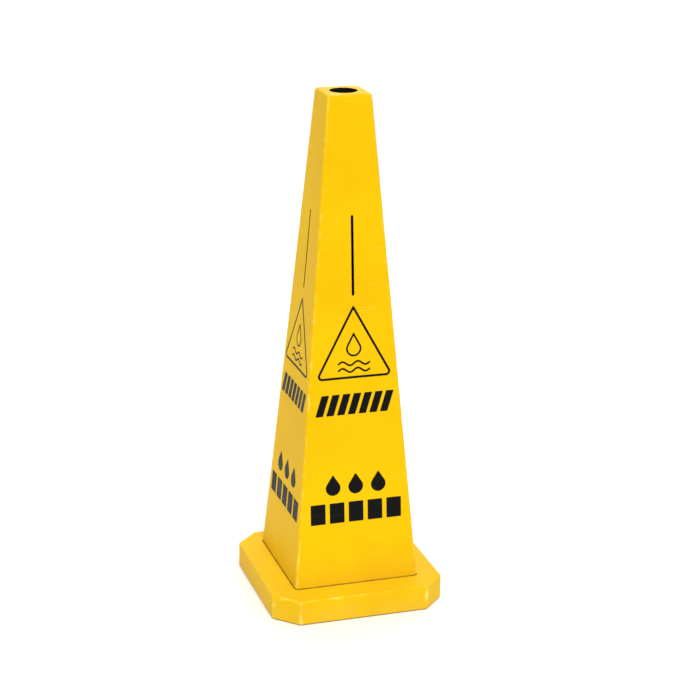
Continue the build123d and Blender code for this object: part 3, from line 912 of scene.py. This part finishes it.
def build_base():
    """The shell's skin, as one closed profile of outlines.

    It goes up the skirt, over the rim, in along the deck, down the guide wall, back up its other side,
    out under the deck and down the inside of the skirt.
    """
    skirt_z = np.concatenate([[SKIRT_UNDER + FOOT_EASE], np.linspace(0.008, DECK_EDGE - RIM_RADIUS, 6)])
    skirt = at_height(soft_octagon(BASE_HALF, BASE_CUT, RIM_RADIUS), skirt_z)
    rise, reach = arc(0, 90, 7)
    rim_half = BASE_HALF - RIM_RADIUS * (1 - reach)
    rim_outlines = soft_octagon(rim_half, cut_for(rim_half), RIM_RADIUS * np.maximum(reach, RIM_LEAST))
    rim = at_height(rim_outlines, DECK_EDGE - RIM_RADIUS * (1 - rise))[1:]

    mouth = guide_inside(DECK_TOP)
    mouth_radius = EDGE_RADIUS + GUIDE_CLEARANCE
    opening = rounded_square(mouth + GUIDE_LIP, mouth_radius + GUIDE_LIP)
    share = np.linspace(0, 1, 11)[1:-1]
    deck_z = DECK_EDGE + (DECK_TOP - DECK_EDGE) * share - DECK_SAG * np.sin(math.pi * share)
    edge = rim_outlines[-1:]
    deck = at_height(edge + share.reshape(-1, 1, 1) * (opening - edge), deck_z)
    spread = GUIDE_LIP * (1 - SMALL_SIN)
    lip = at_height(
        rounded_square(mouth + spread, mouth_radius + spread), DECK_TOP - GUIDE_LIP * (1 - SMALL_COS)
    )

    guide_z = np.linspace(DECK_TOP - 2 * GUIDE_LIP, COVER_TOP, 6)
    guide = at_height(rounded_square(guide_inside(guide_z), mouth_radius), guide_z)
    behind_z = np.array([COVER_TOP, 0.02, 0.03, DECK_UNDER])
    behind_half = guide_inside(behind_z) + GUIDE_WALL
    behind = at_height(rounded_square(behind_half, mouth_radius + GUIDE_WALL), behind_z)
    inner = BASE_HALF - SHELL_WALL
    skirt_inner = at_height(
        soft_octagon(inner, cut_for(inner), INNER_EDGE), [DECK_UNDER, 0.03, 0.012, SKIRT_UNDER]
    )
    eased = BASE_HALF - FOOT_EASE
    foot = at_height(soft_octagon(eased, cut_for(eased), RIM_RADIUS - FOOT_EASE), SKIRT_UNDER)
    rows = np.concatenate([skirt, rim, deck, lip, guide, behind, skirt_inner, foot])
    return make_piece("base_moulding", rows, ring_quads(*rows.shape[:2]))


base_moulding = build_base()
soften_edges(base_moulding, 0.0003)


def octagon_edges(points):
    """1 on the upright edges and the rim of the base, fading to 0 on its flats.

    A point is on an edge when the second smallest of its distances to a side, a cut corner and the
    deck is small.
    """
    x, y = np.abs(points[:, 0]), np.abs(points[:, 1])
    side = BASE_HALF - np.maximum(x, y)
    corner = (2 * BASE_HALF - BASE_CUT - x - y) / math.sqrt(2)
    gaps = np.sort(np.abs(np.stack([side, corner, DECK_EDGE - points[:, 2]], axis=-1)), axis=-1)
    return np.clip(1 - gaps[:, 1] / 0.006, 0, 1)


mark(base_moulding, "edge", octagon_edges(points_of(base_moulding)))
BASE_YELLOW = moulded_yellow("moulded yellow, base", 620.0, 0.56, 0.060, 0.22, 0.85)
base_moulding.data.materials.append(BASE_YELLOW)
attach(base_moulding, "weighted_base")
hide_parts("base_shell")


# ---- ribs and bosses
# Moulded with the shell and hidden in its channel: eight ribs between the guide wall and the skirt,
# which hold the ballast bars in place, and eight hollow bosses that take the cover's screws.

BOSS_RADIUS = 0.005
BOSS_BORE = 0.0016
SCREW_LENGTH = 0.014
RIB = 0.0025
RIB_DEPTH = 0.018
RIB_DRAFT = 0.0003
SKIRT_INSIDE = BASE_HALF - SHELL_WALL
BOSS_ACROSS = (guide_inside(COVER_TOP) + GUIDE_WALL + SKIRT_INSIDE) / 2
BOSS_ALONG = FOOT_HALF - 0.010
RIB_ALONG = BOSS_ALONG - BOSS_RADIUS - 0.001 - RIB / 2


def boss(x, y):
    """A blind tube: up the bore, across its end, and down the outside, carried round a circle."""
    radius = np.array([0.0, BOSS_BORE, BOSS_BORE, BOSS_RADIUS, BOSS_RADIUS, BOSS_RADIUS, 0.0])[:, None]
    bore_top, top = COVER_TOP + SCREW_LENGTH, DECK_UNDER + 0.001
    z = np.array([bore_top, bore_top, COVER_TOP, COVER_TOP, 0.02, top, top])[:, None]
    angle = np.linspace(0, 2 * math.pi, 32, endpoint=False)
    return np.stack([x + radius * np.cos(angle), y + radius * np.sin(angle), z + 0 * angle], axis=-1)


def rib_plate(side, along):
    """A plate across the channel, thinner at its free lower edge, as a mould needs it."""
    z = np.linspace(DECK_UNDER + 0.0005, DECK_UNDER - RIB_DEPTH, 6)
    half = np.linspace(RIB / 2, RIB / 2 - RIB_DRAFT, 6)[:, None]
    across = along + half * np.array([-1.0, -1.0, 1.0, 1.0])
    return plate(side, across, guide_inside(z) + GUIDE_WALL - BITE, SKIRT_INSIDE + BITE, z)


ends = [(side, end) for side in range(4) for end in (-1, 1)]
bosses = [(boss(*to_side(side, end * BOSS_ALONG, BOSS_ACROSS)), "rows") for side, end in ends]
ribs = [(capped(rib_plate(side, end * RIB_ALONG)), "rows") for side, end in ends]
screw_bosses = make_grids("screw_bosses", bosses)
soften_edges(screw_bosses, 0.0003)
channel_ribs = make_grids("channel_ribs", ribs)
soften_edges(channel_ribs, 0.0004)
for moulded in (screw_bosses, channel_ribs):
    moulded.data.materials.append(BASE_YELLOW)
    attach(moulded, "weighted_base")


# ---- ballast bars
# Four bars pressed from recycled rubber crumb, dark with paler and rusty crumbs in it, laid in the
# channel between the ribs. They keep their shape from the frame.

CRUMB_DARK = (0.020, 0.020, 0.021)
CRUMB_PALE = (0.11, 0.11, 0.105)
CRUMB_RUSTY = (0.16, 0.05, 0.03)


def crumb_rubber():
    """Pressed crumb: every cell of a fine pattern is one crumb, with its own shade and height."""
    material, tree, shader, place = start_material("pressed rubber crumb")
    crumbs = put(tree, "ShaderNodeTexVoronoi", {"Vector": place, "Scale": 420.0}).outputs
    shade = put(tree, "ShaderNodeSeparateColor", {0: crumbs["Color"]}).outputs
    greys = mix_colour(tree, ramp(tree, shade[0], 0.86, 0.95, 0.0, 0.7), CRUMB_DARK, CRUMB_PALE)
    colour = mix_colour(tree, ramp(tree, shade[1], 0.93, 0.97, 0.0, 0.8), greys, CRUMB_RUSTY)
    rough = ramp(tree, shade[2], 0.0, 1.0, 0.72, 0.92)
    link_finish(tree, shader, colour, rough, crumbs["Distance"], 0.0012)
    return material


CRUMB_RUBBER = crumb_rubber()
for side_name in SIDES:
    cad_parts[f"ballast_bar_{side_name}"].material_slots[0].material = CRUMB_RUBBER


# ---- base cover
# A flat octagonal ring of the same plastic, with a coarser grain, that closes the channel from below.
# It keeps its shape from the frame.

COVER_YELLOW = moulded_yellow("moulded yellow, cover", 420.0, 0.2, 0.02, 0.6, 0.0)
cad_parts["base_cover"].material_slots[0].material = COVER_YELLOW


# ---- cover screws
# Eight self-tapping screws of zinc-plated steel, with countersunk cross-recess heads. They keep their
# shape from the frame.

ZINC = (0.46, 0.47, 0.49)
ZINC_BRIGHT = (0.62, 0.63, 0.64)
ZINC_DULL = (0.30, 0.27, 0.22)


def zinc_plate():
    """Zinc plating: a grey metal with fine crystals, and duller patches where it has been handled."""
    material, tree, shader, place = start_material("zinc-plated steel")
    shader["Metallic"].default_value = 1.0
    crystals = put(tree, "ShaderNodeTexVoronoi", {"Vector": place, "Scale": 900.0}).outputs
    shade = put(tree, "ShaderNodeSeparateColor", {0: crystals["Color"]}).outputs
    colour = mix_colour(tree, shade[0], ZINC, ZINC_BRIGHT)
    wear = use_group(tree, WEAR, place, Edge=1.0, Amount=0.3)
    colour = mix_colour(tree, wear["Rubbed"], colour, ZINC_DULL)
    rough = ramp(tree, shade[1], 0.0, 1.0, 0.26, 0.42)
    link_finish(tree, shader, colour, rough, crystals["Distance"], 0.00003)
    return material


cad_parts["cover_screws"].material_slots[0].material = zinc_plate()


# ---- floor, light and camera
# A plain white floor that reaches past the view, large soft lights, and a long lens a little above
# and to the left of the sign.

FLOOR_HALF = 30.0
FLOOR_WHITES = ((0.93, 0.93, 0.93), (0.95, 0.95, 0.95))


def white_floor():
    """White sealed floor: almost even, with the faintest cloud in it, and unseen from below."""
    material, tree, shader, place = start_material("white floor")
    colour = mix_colour(tree, noise(tree, place, 1.5, 3.0, 0.5), *FLOOR_WHITES)
    tree.links.new(colour, shader["Base Color"])
    shader["Roughness"].default_value = 0.7
    shader["Specular IOR Level"].default_value = 0.2
    behind = put(tree, "ShaderNodeNewGeometry").outputs["Backfacing"]
    tree.links.new(maths(tree, "SUBTRACT", 1.0, behind), shader["Alpha"])
    return material


floor_mesh = bpy.data.meshes.new("floor")
floor_corners = [(FLOOR_HALF * x, FLOOR_HALF * y, 0) for x, y in ((-1, -1), (1, -1), (1, 1), (-1, 1))]
floor_mesh.from_pydata(floor_corners, [], [(0, 1, 2, 3)])
floor_mesh.materials.append(white_floor())
floor = bpy.data.objects.new("floor", floor_mesh)
bpy.context.scene.collection.objects.link(floor)

world = bpy.data.worlds.new("studio")
world.use_nodes = True
sky = world.node_tree
seen_directly = put(sky, "ShaderNodeLightPath").outputs["Is Camera Ray"]
background = sky.nodes["Background"].inputs
sky.links.new(ramp(sky, seen_directly, 0.0, 1.0, 0.60, 1.0), background["Strength"])
background["Color"].default_value = (1.0, 1.0, 1.0, 1.0)
bpy.context.scene.world = world


def aim_light(data, place, aim):
    """Puts a light at a place and turns it to its aim."""
    light = bpy.data.objects.new(data.name, data)
    light.location = place
    light.rotation_mode = "QUATERNION"
    light.rotation_quaternion = (Vector(aim) - Vector(place)).to_track_quat("-Z", "Y")
    bpy.context.scene.collection.objects.link(light)


def soft_light(name, place, size, power):
    """A square area light that is turned to the middle of the sign."""
    data = bpy.data.lights.new(name, "AREA")
    data.size = size
    data.energy = power
    aim_light(data, place, (0, 0, 0.45))


key = bpy.data.lights.new("key", "SUN")
key.energy = 2.0
key.angle = math.radians(24)
aim_light(key, (-0.35, -2.6, 4.2), (0, 0, 0))
soft_light("edge light", (1.9, 1.6, 1.6), 1.2, 10)
soft_light("back light", (0.7, 2.7, 2.0), 1.6, 20)

CAMERA_TURN = math.radians(17.78)
CAMERA_TILT = math.radians(18.52)
CAMERA_ROLL = math.radians(0.726)
CAMERA_DISTANCE = 3.762 * TOP
AIM_RIGHT = 0.01844 * TOP
AIM_UP = 0.49193 * TOP

level = Vector((-math.sin(CAMERA_TURN), -math.cos(CAMERA_TURN), 0))
back = level * math.cos(CAMERA_TILT) + Vector((0, 0, math.sin(CAMERA_TILT)))
level_right = (-back).cross(Vector((0, 0, 1))).normalized()
level_up = level_right.cross(-back)
right = level_right * math.cos(CAMERA_ROLL) + level_up * math.sin(CAMERA_ROLL)
up = level_up * math.cos(CAMERA_ROLL) - level_right * math.sin(CAMERA_ROLL)
camera_data = bpy.data.cameras.new("camera")
camera_data.lens = 99.84
camera_data.sensor_width = 36.0
camera_data.clip_end = 200.0
camera = bpy.data.objects.new("camera", camera_data)
camera_place = level_right * AIM_RIGHT + Vector((0, 0, AIM_UP)) + back * CAMERA_DISTANCE
turned = Matrix((right, up, back)).transposed().to_4x4()
camera.matrix_world = Matrix.Translation(camera_place) @ turned
bpy.context.scene.collection.objects.link(camera)
bpy.context.scene.camera = camera
bpy.context.scene.view_settings.view_transform = "Standard"
